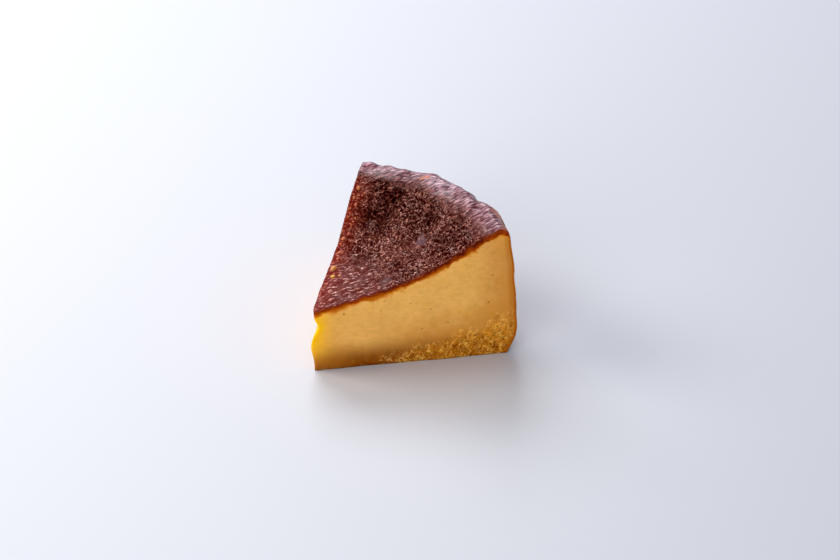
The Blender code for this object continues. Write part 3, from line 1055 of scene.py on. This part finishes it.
def custard_colour(tree, apex, grains):
    """Creamy custard with painted shade towards the rim and below, browned and painted shade towards the
    base, golden crumb, pores painted dark, and a painted yellow glow at the tip.
    """
    cloudy = tree.span(tree.grain(9 * MM), 0.3, 0.7)
    colour = tree.mix(cloudy, rgb(249, 192, 102), rgb(243, 184, 94))
    # Painted shade towards the rim and below.
    colour = tree.tint(colour, "shade", 1, rgb(222, 156, 76))
    mottle = tree.span(tree.grain(1.4 * MM, 4, 0.7, (0.5, 0.5, 1)), 0.34, 0.7, 0, 0.2)
    colour = tree.mix(mottle, colour, rgb(176, 112, 40))
    # Amber and brown low down: partly the custard's own browning, partly painted shade.
    amber = tree.most(tree.mask("near_crumb"), tree.mask("low"))
    colour = tree.mix(tree.times(amber, 0.5), colour, rgb(212, 136, 30))
    browned = tree.mix(tree.span(tree.grain(5 * MM), 0.3, 0.7), rgb(124, 58, 0), rgb(148, 76, 0))
    colour = tree.tint(colour, "low", 0.95, browned)
    # A painted shadow along the very base.
    colour = tree.tint(colour, "foot", 1, rgb(104, 46, 0))
    share = tree.times(crumb_share(tree, grains), 0.95)
    colour = tree.mix(share, colour, crumb_colour(tree, grains))
    # Pores painted as dark spots: painted shade of the holes, without relief.
    colour = tree.mix(tree.times(pore_share(tree, apex), 0.8), colour, rgb(122, 50, 8))
    # A painted glow at the upper outer corner, where light shines through the thin edge.
    colour = tree.tint(colour, "corner", 0.6, rgb(250, 176, 62))
    colour = tree.tint(colour, "near_tip", 0.2, rgb(242, 164, 66))
    # A painted yellow glow at the thin tip, where light shines through.
    colour = tree.tint(colour, "tip", 1, rgb(255, 193, 8))
    return tree.tint(colour, "outer", 1, rgb(176, 92, 10))


def wall_creases(tree):
    """Fine creases that the baking paper leaves in the wall, mostly upright."""
    upright = tree.noise(tree.stretched((1, 1, 0.3)), WALL_LINE_SIZE, 3, distort=0.4)
    broken = tree.span(tree.grain(2 * MM), 0.38, 0.56, 0.2, 1)
    return tree.times(tree.lines(upright, 0.035), broken)


def wall_colour(tree, creases):
    """Browned outer skin: dark at the rim, amber-brown below, darker in the paper's pleats, partly as
    painted shade.
    """
    mottle = tree.span(tree.grain(7 * MM, 5, 0.6), 0.34, 0.66)
    freckle = tree.span(tree.grain(0.9 * MM), 0.36, 0.64, 0, 0.3)
    lower = tree.mix(mottle, rgb(206, 138, 62), rgb(172, 100, 38))
    lower = tree.mix(freckle, lower, rgb(146, 78, 26))
    # Darker in the paper's pleats: partly the skin's own colour, partly painted shade.
    lower = tree.tint(lower, "pleat", 0.55, rgb(132, 66, 24))
    lower = tree.tint(lower, "crease", 0.3, rgb(134, 68, 22))
    lower = tree.mix(tree.times(creases, 0.4), lower, rgb(104, 46, 12))
    upper = tree.mix(mottle, rgb(78, 28, 14), rgb(122, 58, 28))
    upper = tree.mix(tree.times(creases, 0.5), upper, rgb(48, 12, 6))
    colour = tree.tint(lower, "scorch", 1, upper)
    return tree.tint(colour, "low", 0.6, rgb(120, 60, 18))


def crust_shares(tree):
    """Depth in steps of the crust, and where the orange fringe and the crust lie."""
    ragged = tree.level(tree.grain(2.4 * MM, 4, 0.65), 1.5, 0.5)
    depth = tree.times(tree.mask("crust_depth"), ragged)
    fade = tree.less(tree.maths("ADD", 1, tree.mask("fringe")), depth)
    fringe = tree.maths("DIVIDE", fade, tree.mask("fringe"), clamp=True)
    cut_crust = tree.times(tree.span(depth, 0.85, 1.05, 1, 0), tree.mask("on_cut"))
    crust = tree.maths("ADD", cut_crust, tree.mask("on_top"), clamp=True)
    return depth, tree.times(fringe, tree.mask("on_cut")), crust


def bump_height(tree, crust, raised, grains, creases):
    """The finest relief: grit, the crust's lines, the crumb's grains, the wall's creases."""
    grit = tree.grain(0.38 * MM, 3, 0.65)
    strength = tree.most(tree.times(crust, 0.5), tree.level(tree.mask("crumb"), 0.25, 1))
    lines = tree.times(tree.times(raised, crust), 0.6)
    height = tree.maths("ADD", tree.times(grit, strength), lines)
    height = tree.maths("ADD", height, tree.times(grains, tree.mask("crumb")))
    return tree.less(height, tree.times(creases, tree.mask("wall")))


def coat_weight(tree, crust, raised):
    """The crust's shine: its raised lines, blisters, shoulder and smooth places."""
    shine = tree.most(raised, tree.mask("blister"))
    shine = tree.most(shine, tree.times(tree.mask("shoulder"), 0.75))
    shine = tree.times(shine, tree.level(tree.mask("hollow"), 1, 0.3))
    shine = tree.times(shine, tree.level(tree.mask("brink"), 1, 0.2))
    for name, weight in LEAST_COAT:
        shine = tree.most(shine, tree.times(tree.mask(name), weight))
    return tree.times(crust, shine)


def slice_material(apex):
    """One material for the whole slice, led by its masks."""
    tree = Tree(SLOT)
    depth, fringe, crust = crust_shares(tree)
    raised, grains, creases = crust_lines(tree), crumb_grains(tree), wall_creases(tree)

    orange = tree.mix(fringe, rgb(244, 150, 34), rgb(170, 76, 0))
    colour = tree.mix(tree.span(fringe, 0, 0.7), custard_colour(tree, apex, grains), orange)
    colour = tree.tint(colour, "wall", 1, wall_colour(tree, creases))
    skin = tree.tint(crust_colour(tree, raised), "on_cut", 1, cut_crust_colour(tree, depth))
    crust_rough = tree.span(tree.grain(1.4 * MM, 3), 0.3, 0.7, 0.34, 0.5)
    custard_rough = tree.span(tree.grain(2 * MM), 0.3, 0.7, 0.46, 0.6)
    height = bump_height(tree, crust, raised, grains, creases)
    bump = tree.node("Bump", {"Height": height, "Distance": BUMP_DEPTH})
    inputs = {
        "Base Color": tree.mix(crust, colour, skin),
        "Roughness": tree.level(crust, custard_rough, crust_rough),
        "Normal": bump.outputs["Normal"],
        "Coat Weight": coat_weight(tree, crust, raised),
        "Coat Roughness": 0.2,
        "Specular IOR Level": 0,
        "Subsurface Weight": tree.times(tree.less(1, crust, clamp=True), 0.55),
        "Subsurface Radius": GLOW_RADIUS,
        "Subsurface Scale": GLOW_REACH,
    }
    return tree.finish(inputs)


def make_floor():
    """The plain, slightly blue table that the slice stands on."""
    bpy.ops.mesh.primitive_plane_add(size=FLOOR_SIZE, location=(0, 0, 0))
    floor = bpy.context.active_object
    floor.name = "table_top"
    inputs = {"Base Color": FLOOR_COLOUR, "Roughness": 0.5, "Specular IOR Level": 0.3}
    floor.data.materials.append(Tree("pale_floor").finish(inputs))


def level_direction(azimuth):
    """A level direction at an azimuth from straight away from the photograph's camera."""
    turn = math.radians(azimuth)
    away = Vector((-math.sin(CAMERA_AZIMUTH), math.cos(CAMERA_AZIMUTH), 0))
    rightward = Vector((math.cos(CAMERA_AZIMUTH), math.sin(CAMERA_AZIMUTH), 0))
    return away * math.cos(turn) + rightward * math.sin(turn)


def place_towards(item, location, forward):
    """Puts a camera or a light at a place, looking along a direction."""
    item.location = location
    item.rotation_mode = "QUATERNION"
    item.rotation_quaternion = forward.to_track_quat("-Z", "Y")
    bpy.context.scene.collection.objects.link(item)


def make_camera(apex):
    """The photograph's camera."""
    offset = Vector((*CAMERA_TARGET_FROM_TIP, 0))
    target = Vector((apex[0], apex[1], 0)) + offset
    drop = Vector((0, 0, math.sin(CAMERA_ELEVATION)))
    forward = level_direction(0) * math.cos(CAMERA_ELEVATION) - drop
    data = bpy.data.cameras.new("photo_camera")
    data.lens = CAMERA_LENS
    data.sensor_width = CAMERA_SENSOR
    camera = bpy.data.objects.new("photo_camera", data)
    place_towards(camera, target - forward * CAMERA_DISTANCE, forward)
    bpy.context.scene.camera = camera


def make_soft_boxes():
    """Rectangular soft lights aimed at the slice."""
    for name, azimuth, elevation, distance, width, height, radiance, colour in SOFT_BOXES:
        data = bpy.data.lights.new(name, "AREA")
        data.shape = "RECTANGLE"
        data.size = width
        data.size_y = height
        data.energy = radiance * math.pi * width * height
        data.color = colour
        light = bpy.data.objects.new(name, data)
        tilt = math.radians(elevation)
        outward = level_direction(azimuth) * math.cos(tilt) + Vector((0, 0, math.sin(tilt)))
        place_towards(light, outward * distance, -outward)


def make_world():
    """A pale surround that darkens overhead."""
    world = bpy.data.worlds.new("pale_surround")
    world.use_nodes = True
    tree = world.node_tree
    split = add_node(tree, "SeparateXYZ", {0: add_node(tree, "TexCoord").outputs["Generated"]})
    ends = {"Value": split.outputs["Z"], "From Min": HORIZON_FADE[0], "From Max": HORIZON_FADE[1]}
    climb = add_node(tree, "MapRange", ends, interpolation_type="SMOOTHSTEP")
    colours = {0: climb.outputs["Result"], 6: HORIZON_LIGHT, 7: ZENITH_LIGHT}
    colour = add_node(tree, "Mix", colours, data_type="RGBA")
    feed(tree, tree.nodes["Background"], {"Color": colour.outputs[2]})
    bpy.context.scene.world = world


def main():
    """The slice with its looks, on a lit table before the photograph's camera."""
    mesh, apex = make_slice()
    mesh.materials.append(slice_material(apex))
    cake = bpy.data.objects.new("burnt_cheesecake", mesh)
    bpy.context.scene.collection.objects.link(cake)
    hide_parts(NODE)
    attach(cake, "root")
    make_floor()
    make_camera(apex)
    make_soft_boxes()
    make_world()
    bpy.context.scene.view_settings.view_transform = "Standard"


main()
